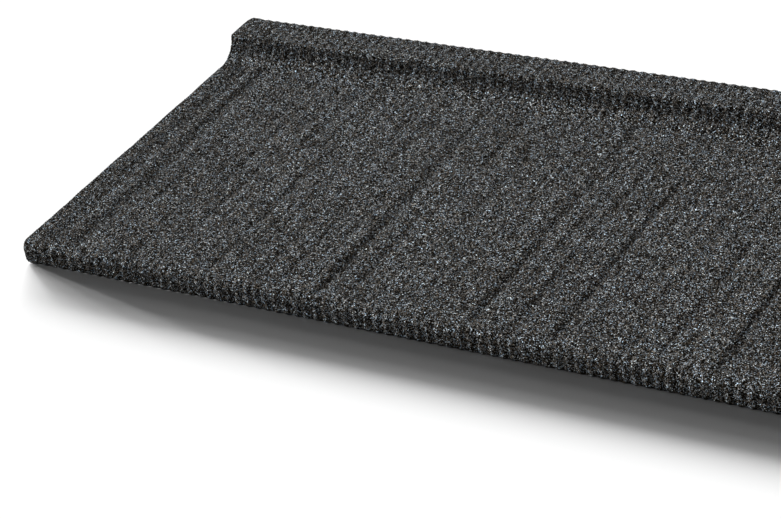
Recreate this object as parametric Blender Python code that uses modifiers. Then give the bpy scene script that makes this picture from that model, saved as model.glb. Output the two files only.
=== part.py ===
"""Pressed-steel roofing sheet with a split-timber face, bonded all over with stone granules.

The sheet is one pressing. Seen from its end, the section starts at the lower edge of the
turned-down nose, bends back into the pan, sweeps up the upstand and ends in the flange that
lies on the roof batten. Flutes stiffen the nose, the upstand and the flange. The joints of
the timber pattern run up the pan, and beads near both ends let neighbouring sheets nest.

The sheet lies face up on a level floor: +X along it, +Y from the nose to the flange, +Z up,
with the origin at the bottom centre of its box.
"""

import math
from collections import namedtuple

import bmesh
import bpy
from mathutils import Matrix, Vector

# Overall sizes, in metres
COVER_LENGTH = 1.250
SIDE_LAP = 0.080
COVER_WIDTH = 0.370
FLANGE_DEPTH = 0.040
NOSE_HEIGHT = 0.0225
UPSTAND_HEIGHT = 0.022
SHEET_THICKNESS = 0.0018

# The slight crown that pressing leaves along the sheet: how much higher its middle stands than
# its ends, so that it rests near its four corners
CROWN = 0.0003

# Bends of the section, as radii of the coated face, and the upstand's angle to the pan.
# The sweep from the pan up to the shelf bend is a single arc, so its radius follows from these
NOSE_RADIUS = 0.008
SHELF_RADIUS = 0.003
UPSTAND_ANGLE = math.radians(80)
CORNER_RADIUS = 0.005

# Flutes: a whole number of them in the cover length, so that lapped sheets nest. They start at
# the first crest, and the edge before it stays at the height of the crests that it laps
FLUTES_IN_COVER = 118
FLUTE_DEPTH = 0.0010
FLUTE_FADE = 0.014
FIRST_CREST = 0.0136

# Joints of the timber pattern. Each falls to its foot from the left and rises again to the
# right, and is nearer the left end at the rear of the pan, by the lean, than at the front
JOINT_DEPTH = 0.0022
JOINT_FALL = 0.009
JOINT_RISE = 0.013
JOINT_LEAN = 0.003

# Distance of each joint's foot from the left end, as a share of the cover length, and its shares
# of the full depth at the front, the middle and the rear of the pan
JOINT_SHARES = (
    (0.0720, (0.2, 0.5, 0.4)),
    (0.0968, (0.5, 0.2, 0.4)),
    (0.1240, (0.4, 0.6, 0.5)),
    (0.1408, (0.2, 0.2, 0.7)),
    (0.1664, (0.6, 0.6, 0.5)),
    (0.2088, (0.4, 0.2, 0.1)),
    (0.2272, (0.6, 0.3, 0.3)),
    (0.2632, (1.0, 0.9, 0.6)),
    (0.2856, (0.5, 0.2, 0.2)),
    (0.2968, (0.2, 0.3, 0.7)),
    (0.3224, (0.5, 0.4, 0.5)),
    (0.3416, (0.2, 0.2, 0.4)),
    (0.3616, (0.2, 0.2, 0.5)),
    (0.3904, (1.0, 0.9, 0.8)),
    (0.4224, (0.7, 0.5, 0.4)),
    (0.4552, (1.0, 0.9, 0.6)),
    (0.4824, (0.5, 0.2, 0.2)),
    (0.5080, (0.4, 0.4, 0.3)),
    (0.5344, (0.6, 0.5, 0.5)),
    (0.5520, (0.3, 0.4, 0.3)),
    (0.5784, (1.0, 1.0, 0.7)),
    (0.6096, (0.4, 0.5, 0.3)),
    (0.6448, (0.8, 0.7, 0.7)),
    (0.6800, (0.4, 0.3, 0.5)),
    (0.7144, (0.6, 0.7, 0.4)),
    (0.7528, (1.0, 0.9, 0.7)),
    (0.7864, (0.5, 0.3, 0.4)),
    (0.8128, (0.7, 0.6, 0.6)),
    (0.8520, (0.3, 0.5, 0.4)),
    (0.8872, (1.0, 0.9, 0.8)),
    (0.9216, (0.5, 0.4, 0.5)),
    (0.9568, (0.8, 0.7, 0.6)),
    (0.9840, (0.3, 0.5, 0.3)),
)

# Lap beads, repeated one cover length further on. Each is a groove with a gentle fall and a
# steep rise: distances of its start, foot and end from the end of the sheet, and its depth
LAP_BEADS = (
    (0.011, 0.030, 0.038, 0.0012),
    (0.038, 0.058, 0.067, 0.0016),
)

NOSE_SEGMENTS = 2
PAN_SEGMENTS = 2
SWEEP_SEGMENTS = 3
SHELF_SEGMENTS = 1
CORNER_SEGMENTS = 2

COATED_GREY = (0.052, 0.054, 0.058, 1.0)

# One row of the pressing across the section: where it is on the coated face, the direction
# square to that face, and how much of the flutes and of the timber pattern it carries
Row = namedtuple("Row", "y z normal flute timber")


def overall_length():
    return COVER_LENGTH + SIDE_LAP


def flute_pitch():
    return COVER_LENGTH / FLUTES_IN_COVER


def bend(centre_y, centre_z, radius, angles, flute, timber):
    """Rows round a bend whose outer side is coated. Angles are those of the coated face."""
    rows = []
    for angle in angles:
        y = centre_y - radius * math.sin(angle)
        z = centre_z + radius * math.cos(angle)
        rows.append(Row(y, z, (-math.sin(angle), math.cos(angle)), flute, timber))
    return rows


def angle_steps(first, last, segments):
    return [first + (last - first) * step / segments for step in range(segments + 1)]


def nose_rows():
    """The lip, from its lower edge, and the bend into the pan."""
    lip_edge = Row(0.0, -NOSE_HEIGHT, (-1.0, 0.0), 1.0, 0.0)
    turn = angle_steps(math.pi / 2, 0.0, NOSE_SEGMENTS)
    return [lip_edge] + bend(NOSE_RADIUS, -NOSE_RADIUS, NOSE_RADIUS, turn, 1.0, 0.0)


def pan_start():
    """Distance behind the nose's face at which the flutes have run out."""
    return NOSE_RADIUS + FLUTE_FADE


def sweep_radius():
    """Radius that takes the sweep from the pan straight into the shelf bend."""
    return UPSTAND_HEIGHT / (1 - math.cos(UPSTAND_ANGLE)) - SHELF_RADIUS


def sweep_start():
    """Distance behind the nose's face at which the pan ends and starts to rise."""
    return COVER_WIDTH - sweep_radius() * math.sin(UPSTAND_ANGLE)


def pan_rows():
    """The pan, up to the last row before the sweep."""
    step = (sweep_start() - pan_start()) / PAN_SEGMENTS
    return [Row(pan_start() + step * k, 0.0, (0.0, 1.0), 0.0, 1.0) for k in range(PAN_SEGMENTS)]


def sweep_rows():
    """The sweep up from the pan, on which the timber pattern ends and the flutes start."""
    radius = sweep_radius()
    rows = []
    for step, angle in enumerate(angle_steps(0.0, UPSTAND_ANGLE, SWEEP_SEGMENTS)):
        y = sweep_start() + radius * math.sin(angle)
        z = radius * (1 - math.cos(angle))
        flute = min(1.0, step / 2)
        timber = 1.0 if step == 0 else 0.0
        rows.append(Row(y, z, (-math.sin(angle), math.cos(angle)), flute, timber))
    return rows


def shelf_rows():
    """The bend at the top of the upstand and the flange behind it."""
    centre_y = COVER_WIDTH + SHELF_RADIUS * math.sin(UPSTAND_ANGLE)
    centre_z = UPSTAND_HEIGHT - SHELF_RADIUS
    turn = angle_steps(UPSTAND_ANGLE, 0.0, SHELF_SEGMENTS)[1:]
    flange_rear = Row(COVER_WIDTH + FLANGE_DEPTH, UPSTAND_HEIGHT, (0.0, 1.0), 1.0, 0.0)
    return bend(centre_y, centre_z, SHELF_RADIUS, turn, 1.0, 0.0) + [flange_rear]


def section_rows():
    """Every row of the pressing, from the lip's lower edge to the rear of the flange."""
    return nose_rows() + pan_rows() + sweep_rows() + shelf_rows()


def column_places():
    """Distances from the left end: both ends, and each crest and hollow of the flutes."""
    half = flute_pitch() / 2
    last = overall_length() - CORNER_RADIUS - half / 2
    count = int((last - FIRST_CREST) / half) + 1
    return [0.0] + [FIRST_CREST + half * k for k in range(count)] + [overall_length()]


def along_pan(y):
    """Share of the way over the pan, from 0 at its front to 1 where the sweep starts."""
    return min(1.0, max(0.0, (y - pan_start()) / (sweep_start() - pan_start())))


def joint_foot(joint, along):
    """Distance of a joint's foot from the left end, at a share of the way over the pan."""
    return joint * COVER_LENGTH - JOINT_LEAN * along


def share_at(shares, along):
    """Share of the full depth at a share of the way over the pan."""
    place = along * (len(shares) - 1)
    first = min(int(place), len(shares) - 2)
    return shares[first] + (shares[first + 1] - shares[first]) * (place - first)


def bead_starts():
    """Where the two sets of lap beads are measured from."""
    return 0.0, COVER_LENGTH


def timber_columns(places, along):
    """The columns of one row of the pan, with the nearest one drawn onto each groove's foot."""
    feet = [joint_foot(joint, along) for joint, _ in JOINT_SHARES]
    feet += [start + foot for start in bead_starts() for _, foot, _, _ in LAP_BEADS]
    drawn = list(places)
    last = len(places) - 1
    for foot in feet:
        nearest = min(range(1, last), key=lambda k: abs(places[k] - foot))
        drawn[nearest] = foot
    return drawn


def groove(x, start, foot, end):
    """Share of a groove's depth: 0 at its start, 1 at its foot and 0 again at its end."""
    if x < foot:
        return max(0.0, (x - start) / (foot - start))
    return max(0.0, (end - x) / (end - foot))


def joint_depth(x, along):
    """Depth of the deepest joint at one place of the pan."""
    deepest = 0.0
    for joint, shares in JOINT_SHARES:
        foot = joint_foot(joint, along)
        closeness = groove(x, foot - JOINT_FALL, foot, foot + JOINT_RISE)
        deepest = max(deepest, JOINT_DEPTH * share_at(shares, along) * closeness)
    return deepest


def bead_depth(x):
    """Depth of the lap beads at this distance from the left end."""
    depth = 0.0
    for edge in bead_starts():
        for start, foot, end, bead in LAP_BEADS:
            depth += bead * groove(x - edge, start, foot, end)
    return depth


def flute_wave(x):
    """Height of the flutes, from -1 in a hollow to 1 on a crest."""
    return math.cos(2 * math.pi * max(0.0, x - FIRST_CREST) / flute_pitch())


def crown_drop(x):
    """How much lower the sheet is at this distance from its left end than at its middle."""
    from_middle = x / (overall_length() / 2) - 1
    return CROWN * from_middle**2


def face_point(x, timber_x, row):
    """Where the coated face lies at one column and row."""
    sunk = joint_depth(timber_x, along_pan(row.y)) + bead_depth(timber_x)
    lift = flute_wave(x) * FLUTE_DEPTH / 2 * row.flute - sunk * row.timber
    along = x + (timber_x - x) * row.timber
    height = row.z + row.normal[1] * lift - crown_drop(along)
    return Vector((along, row.y + row.normal[0] * lift, height))


def press_face():
    """The coated face as an open surface: a flat grid pressed to the section and its relief."""
    rows = section_rows()
    places = column_places()
    pan_places = [timber_columns(places, along_pan(row.y)) for row in rows]
    across = len(places) - 1
    up = len(rows) - 1
    bm = bmesh.new()
    bmesh.ops.create_grid(bm, x_segments=across, y_segments=up, size=0.5)
    for vertex in bm.verts:
        column = round((vertex.co.x + 0.5) * across)
        row = round((vertex.co.y + 0.5) * up)
        vertex.co = face_point(places[column], pan_places[row][column], rows[row])
    round_corners(bm)
    mesh = bpy.data.meshes.new("roofing_sheet")
    bm.to_mesh(mesh)
    bm.free()
    return mesh


def round_corners(bm):
    """Trims the four cut corners of the blank."""
    corners = [vertex for vertex in bm.verts if len(vertex.link_edges) == 2]
    bmesh.ops.bevel(
        bm,
        geom=corners,
        offset=CORNER_RADIUS,
        segments=CORNER_SEGMENTS,
        profile=0.5,
        affect="VERTICES",
        material=-1,
    )


def give_thickness(sheet):
    """Turns the face into a solid sheet, its thickness below the coated face, and applies it."""
    gauge = sheet.modifiers.new("gauge", "SOLIDIFY")
    gauge.thickness = SHEET_THICKNESS
    gauge.offset = -1.0
    gauge.use_even_offset = True
    gauge.use_quality_normals = True
    evaluated = sheet.evaluated_get(bpy.context.evaluated_depsgraph_get())
    solid = bpy.data.meshes.new_from_object(evaluated)
    sheet.modifiers.clear()
    sheet.data = solid
    solid.name = "roofing_sheet"


def lower_outline(points):
    """The convex outline under a set of (y, z) points, from front to back."""
    outline = []
    for point in sorted(points):
        while len(outline) > 1:
            (ay, az), (by, bz) = outline[-2:]
            turns_up = (by - ay) * (point[1] - az) - (bz - az) * (point[0] - ay)
            if turns_up > 0:
                break
            outline.pop()
        outline.append(point)
    return outline


def lay_on_floor(mesh):
    """Tips the sheet onto the two lines that it stands on, and centres it over the origin."""
    feet = lower_outline({(vertex.co.y, vertex.co.z) for vertex in mesh.vertices})
    balance = COVER_WIDTH / 2
    front, rear = next(pair for pair in zip(feet, feet[1:]) if pair[1][0] > balance)
    slope = math.atan2(rear[1] - front[1], rear[0] - front[0])
    mesh.transform(Matrix.Rotation(-slope, 4, "X"))
    lows = [min(vertex.co[axis] for vertex in mesh.vertices) for axis in range(3)]
    highs = [max(vertex.co[axis] for vertex in mesh.vertices) for axis in range(3)]
    centre_x = (lows[0] + highs[0]) / 2
    centre_y = (lows[1] + highs[1]) / 2
    mesh.transform(Matrix.Translation((-centre_x, -centre_y, -lows[2])))


def coated_finish():
    """Dark grey stone granules over the steel."""
    finish = bpy.data.materials.new("stone_coating")
    finish.use_nodes = True
    shader = finish.node_tree.nodes["Principled BSDF"]
    shader.inputs["Base Color"].default_value = COATED_GREY
    shader.inputs["Roughness"].default_value = 0.75
    shader.inputs["Metallic"].default_value = 0.0
    return finish


def main():
    """Clears the scene and builds the sheet."""
    for old in list(bpy.data.objects):
        bpy.data.objects.remove(old)
    collection = bpy.data.collections.new("metal_roofing_sheet")
    bpy.context.scene.collection.children.link(collection)
    sheet = bpy.data.objects.new("roofing_sheet", press_face())
    collection.objects.link(sheet)
    give_thickness(sheet)
    lay_on_floor(sheet.data)
    sheet.data.materials.clear()
    sheet.data.materials.append(coated_finish())
    sheet.data.shade_smooth()
    sheet.data.set_sharp_from_angle(angle=math.radians(40))


main()
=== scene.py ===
"""Looks for a pressed-steel roofing sheet with a split-timber face and a stone-granule coat.

The solid sheet is the fixed frame. This script stands a finer pressing in its place, with
smooth flutes, wavering joints and timber grain, strews crushed-stone granules over its upper
face, and lights it in a plain studio.
"""

import logging
import math
from dataclasses import dataclass, field
from enum import Enum
from functools import cache

import bmesh
import bpy
from mathutils import Matrix, Quaternion, Vector, noise


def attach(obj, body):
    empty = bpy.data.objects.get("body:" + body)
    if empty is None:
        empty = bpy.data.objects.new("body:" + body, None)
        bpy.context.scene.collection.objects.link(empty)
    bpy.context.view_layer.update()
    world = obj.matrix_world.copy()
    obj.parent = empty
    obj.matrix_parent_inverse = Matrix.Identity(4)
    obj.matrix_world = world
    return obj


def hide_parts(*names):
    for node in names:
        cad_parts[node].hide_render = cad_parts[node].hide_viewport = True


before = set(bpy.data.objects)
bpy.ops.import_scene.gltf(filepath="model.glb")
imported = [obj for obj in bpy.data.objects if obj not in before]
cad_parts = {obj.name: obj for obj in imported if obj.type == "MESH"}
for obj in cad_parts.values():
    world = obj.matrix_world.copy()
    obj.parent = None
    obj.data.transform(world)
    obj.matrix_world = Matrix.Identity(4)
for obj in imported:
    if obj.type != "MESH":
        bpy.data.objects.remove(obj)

log = logging.getLogger("roofing_sheet")

CAD_NODE = "roofing_sheet"
BODY = "root"

Colour = tuple[float, float, float]
Socket = bpy.types.NodeSocket

FORWARD = (-1.0, 0.0)
UPWARD = (0.0, 1.0)
UNIT = (0.0, 1.0)


def smoothstep(low: float, high: float, value: float) -> float:
    """Eased share, from 0 to 1, of the way that a value has come from low to high."""
    share = min(1.0, max(0.0, (value - low) / (high - low)))
    return share * share * (3.0 - 2.0 * share)


def between(first: float, second: float, share: float) -> float:
    """The value that lies the given share of the way from first to second."""
    return first + (second - first) * share


def risen(turn: float) -> tuple[float, float]:
    """Direction square to a face that rises to the rear at an angle, as (y, z)."""
    return (-math.sin(turn), math.cos(turn))


class Zone(Enum):
    """Stretches of the section, in order from the nose's lower edge to the flange's rear."""

    EDGE = "edge"
    NOSE = "nose"
    PAN = "pan"
    FLANGE = "flange"


@dataclass(frozen=True)
class Station:
    """One place along the section of the pressing.

    Attributes:
        y: Distance behind the nose's face, in metres.
        z: Height above the pan's upper face, in metres.
        normal: Direction square to the coated face, as (y, z).
        flute: Share of the flutes' depth carried here.
        timber: Share of the timber pattern's depth carried here.
        zone: The stretch of the section that the place belongs to.
        painted_shade: Painted shade on the coat here, as at the upstand's foot.
        from_cut: Distance from the nearest long cut edge, where that is small.
    """

    y: float
    z: float
    normal: tuple[float, float]
    flute: float
    timber: float
    zone: Zone
    painted_shade: float = 0.0
    from_cut: float = 1.0


@dataclass
class Section:
    """End profile of the pressing: nose, pan, sweep, upstand and flange.

    Attributes:
        cover_width: From the nose's face to the upstand's, in metres.
        flange_depth: From the upstand's face to the flange's rear edge.
        nose_height: From the nose's lower edge to the pan.
        upstand_height: From the pan to the flange.
        nose_radius: Outer radius of the bend from nose to pan.
        shelf_radius: Outer radius of the bend from upstand to flange.
        upstand_angle: Angle of the upstand to the pan, in radians.
        flute_fade: Length over which the flutes run out into the pan.
        sweep_flutes: Shares of the sweep between which the flutes come back.
        timber_end: Share of the sweep by which the timber relief has run out.
        bare_edge: Strip along a cut edge from which the granules have broken off.
        lip_clear: Gap between the lip's lower edge and the floor at the sheet's ends.
        granule_reach: How far the granules beside the rear edge reach out over it.
        lip_painted_shade: Painted shade on the coat at the lip's lower edge, where it meets the floor,
            and above it.
        lip_shade_span: Distances from that edge between which the one passes into the other.
        sweep_painted_shade: Painted shade on the coat in a band high on the sweep, where the corner
            lies in shade.
        sweep_shade_span: Shares of the sweep where the band starts, is full and starts to fade.
        rear_painted_shade: Painted shade on the coat at the flange's rear edge.
        lip_steps: Grid rows of the lip.
        nose_steps: Grid rows of the bend above it.
        fade_steps: Grid rows over which the flutes run out.
        pan_steps: Grid rows of the rest of the pan.
        sweep_steps: Grid rows of the sweep.
        shelf_steps: Grid rows of the bend from upstand to flange.
        flange_steps: Grid rows of the flange.
    """

    cover_width: float = 0.370
    flange_depth: float = 0.040
    nose_height: float = 0.0225
    upstand_height: float = 0.022
    nose_radius: float = 0.008
    shelf_radius: float = 0.003
    upstand_angle: float = math.radians(80)
    flute_fade: float = 0.014
    sweep_flutes: tuple[float, float] = (0.05, 0.6)
    timber_end: float = 0.4
    bare_edge: float = 0.0009
    lip_clear: float = 0.0001
    granule_reach: float = 0.0009
    lip_painted_shade: tuple[float, float] = (1.0, 0.08)
    lip_shade_span: tuple[float, float] = (0.0010, 0.0042)
    sweep_painted_shade: float = 0.85
    sweep_shade_span: tuple[float, float, float] = (0.45, 0.66, 0.86)
    rear_painted_shade: float = 0.8
    lip_steps: int = 5
    nose_steps: int = 8
    fade_steps: int = 6
    pan_steps: int = 24
    sweep_steps: int = 9
    shelf_steps: int = 4
    flange_steps: int = 6

    def sweep_radius(self) -> float:
        """Radius that takes the sweep from the pan straight into the shelf bend."""
        return self.upstand_height / (1 - math.cos(self.upstand_angle)) - self.shelf_radius

    def sweep_start(self) -> float:
        """Distance behind the nose's face at which the pan starts to rise."""
        return self.cover_width - self.sweep_radius() * math.sin(self.upstand_angle)

    def nose(self) -> list[Station]:
        """Stations up the lip and round the bend at its top.

        Returns:
            Stations from the lower edge to the last before the pan.
        """
        lip_edge = self.lip_clear - self.nose_height
        # Painted shade darkens the lip's lower edge, where it meets the floor, and fades above it.
        made = [Station(0.0, lip_edge, FORWARD, 1.0, 0.0, Zone.EDGE, self.lip_painted_shade[0], 0.0)]
        for step in range(self.lip_steps):
            z = between(lip_edge + self.bare_edge, -self.nose_radius, step / self.lip_steps)
            from_cut = z - lip_edge
            painted_shade = between(*self.lip_painted_shade, smoothstep(*self.lip_shade_span, from_cut))
            made.append(Station(0.0, z, FORWARD, 1.0, 0.0, Zone.NOSE, painted_shade, from_cut))
        for step in range(self.nose_steps):
            normal = risen(math.pi / 2 * (1 - step / self.nose_steps))
            y = self.nose_radius * (1 + normal[0])
            z = self.nose_radius * (normal[1] - 1)
            made.append(Station(y, z, normal, 1.0, 0.0, Zone.NOSE))
        return made

    def pan(self) -> list[Station]:
        """Stations along the pan, with the stretch in which the flutes run out.

        Returns:
            Stations from the nose bend to the last before the sweep.
        """
        made = []
        fade_end = self.nose_radius + self.flute_fade
        for step in range(self.fade_steps):
            share = step / self.fade_steps
            timber = smoothstep(0.0, 1.0, share)
            y = between(self.nose_radius, fade_end, share)
            made.append(Station(y, 0.0, UPWARD, 1.0 - timber, timber, Zone.PAN))
        for step in range(self.pan_steps):
            y = between(fade_end, self.sweep_start(), step / self.pan_steps)
            made.append(Station(y, 0.0, UPWARD, 0.0, 1.0, Zone.PAN))
        return made

    def sweep(self) -> list[Station]:
        """Stations up the sweep, where the timber runs out and the flutes come back.

        Returns:
            Stations from the start of the sweep to its top.
        """
        made = []
        radius = self.sweep_radius()
        start, full, fading = self.sweep_shade_span
        for step in range(self.sweep_steps + 1):
            share = step / self.sweep_steps
            turn = self.upstand_angle * share
            y = self.sweep_start() + radius * math.sin(turn)
            z = radius * (1 - math.cos(turn))
            flute = smoothstep(*self.sweep_flutes, share)
            timber = 1.0 - smoothstep(0.0, self.timber_end, share)
            zone = Zone.PAN if share < self.timber_end else Zone.FLANGE
            # Painted shade in a band at the upstand's foot, where the corner lies in shade.
            band = smoothstep(start, full, share) * (1.0 - smoothstep(fading, 1.0, share))
            made.append(Station(y, z, risen(turn), flute, timber, zone, self.sweep_painted_shade * band))
        return made

    def flange(self) -> list[Station]:
        """Stations over the shelf bend and along the flange.

        Returns:
            Stations from the bend to the flange's rear edge.
        """
        made = []
        centre_y = self.cover_width + self.shelf_radius * math.sin(self.upstand_angle)
        centre_z = self.upstand_height - self.shelf_radius
        for step in range(1, self.shelf_steps + 1):
            normal = risen(self.upstand_angle * (1 - step / self.shelf_steps))
            y = centre_y + self.shelf_radius * normal[0]
            z = centre_z + self.shelf_radius * normal[1]
            made.append(Station(y, z, normal, 1.0, 0.0, Zone.FLANGE))
        rear = self.cover_width + self.flange_depth - self.granule_reach
        z = self.upstand_height
        for step in range(1, self.flange_steps + 1):
            y = between(centre_y, rear - self.bare_edge, step / self.flange_steps)
            made.append(Station(y, z, UPWARD, 1.0, 0.0, Zone.FLANGE, from_cut=rear - y))
        # The rear edge carries painted shade.
        made.append(Station(rear, z, UPWARD, 1.0, 0.0, Zone.EDGE, self.rear_painted_shade, 0.0))
        return made

    def stations(self) -> list[Station]:
        """Every station, from the nose's lower edge to the flange's rear edge."""
        return self.nose() + self.pan() + self.sweep() + self.flange()

    def stations_of(self, zones: tuple[Zone, ...]) -> list[Station]:
        """The stations of some neighbouring zones, and the one that the next zone starts with.

        Args:
            zones: The zones wanted.

        Returns:
            Stations that cover the zones without a gap, short of the bare cut edges.
        """
        every = self.stations()
        inside = [place for place, station in enumerate(every) if station.zone in zones]
        last = min(inside[-1] + 1, len(every) - 1)
        if every[last].zone is Zone.EDGE and Zone.EDGE not in zones:
            last -= 1
        return every[inside[0] : last + 1]


@dataclass(frozen=True)
class Waver:
    """Smooth unevenness, read from fixed noise.

    Attributes:
        size: About the most that it adds.
        rates: Lumps to the metre, or to the whole way, in each of two directions.
        layer: The slice of the noise that it is read from.
    """

    size: float
    rates: tuple[float, float]
    layer: float

    def at(self, first: float, second: float) -> float:
        """The unevenness at a place, given by how far it lies in the two directions."""
        place = Vector((first * self.rates[0], second * self.rates[1], self.layer))
        return self.size * noise.noise(place)


SPLIT_EDGE = (Waver(0.0022, (91.0, 3.5), 4.2), Waver(0.0007, (57.0, 13.0), 9.1))
TIMBER_GRAIN = (Waver(0.8, (190.0, 6.0), 5.3), Waver(1.9, (235.0, 5.0), 8.8))


@dataclass(frozen=True)
class Joint:
    """One joint between two planks of the timber pattern.

    Attributes:
        x: Distance from the sheet's left end at the nose, in metres.
        lean: How much nearer the left end the joint is at the sweep.
        depths: Shares of the full depth at even steps from the nose to the sweep.
    """

    x: float
    lean: float
    depths: tuple[float, ...]

    def depth_at(self, share: float) -> float:
        """Share of the pattern's full joint depth at one place of the joint.

        Args:
            share: 0 at the nose, 1 at the sweep.

        Returns:
            The share, eased from each of the joint's depths to the next.
        """
        place = min(max(share, 0.0), 1.0) * (len(self.depths) - 1)
        first = min(int(place), len(self.depths) - 2)
        eased = smoothstep(0.0, 1.0, place - first)
        return between(self.depths[first], self.depths[first + 1], eased)

    @cache
    def place(self, share: float) -> float:
        """Distance from the left end, with the waver of a split edge, kept for each row."""
        return self.x - self.lean * share + sum(waver.at(self.x, share) for waver in SPLIT_EDGE)


@dataclass(frozen=True)
class Bead:
    """A groove near a side lap, which falls gently and rises again steeply.

    Attributes:
        start: Where it starts, from the end of the sheet, in metres.
        foot: Where it is deepest.
        end: Where it ends.
        depth: Depth at its foot.
        shade_rise: Share of its gentle side over which the painted shade comes in.
    """

    start: float
    foot: float
    end: float
    depth: float
    shade_rise: float = 0.25

    def share_at(self, x: float) -> float:
        """Share of the full depth at a distance from the sheet's end.

        Args:
            x: Distance from the end, in metres.

        Returns:
            0 outside the groove, 1 at its foot.
        """
        if x < self.foot:
            return smoothstep(self.start, self.foot, x)
        return 1.0 - smoothstep(self.foot, self.end, x)

    def painted_shade_at(self, x: float) -> float:
        """Painted shade on the gentle side: 1 where it is darkest, 0 outside."""
        full = between(self.start, self.foot, self.shade_rise)
        return smoothstep(self.start, full, x) * (1.0 - smoothstep(self.foot, self.end, x))


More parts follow.
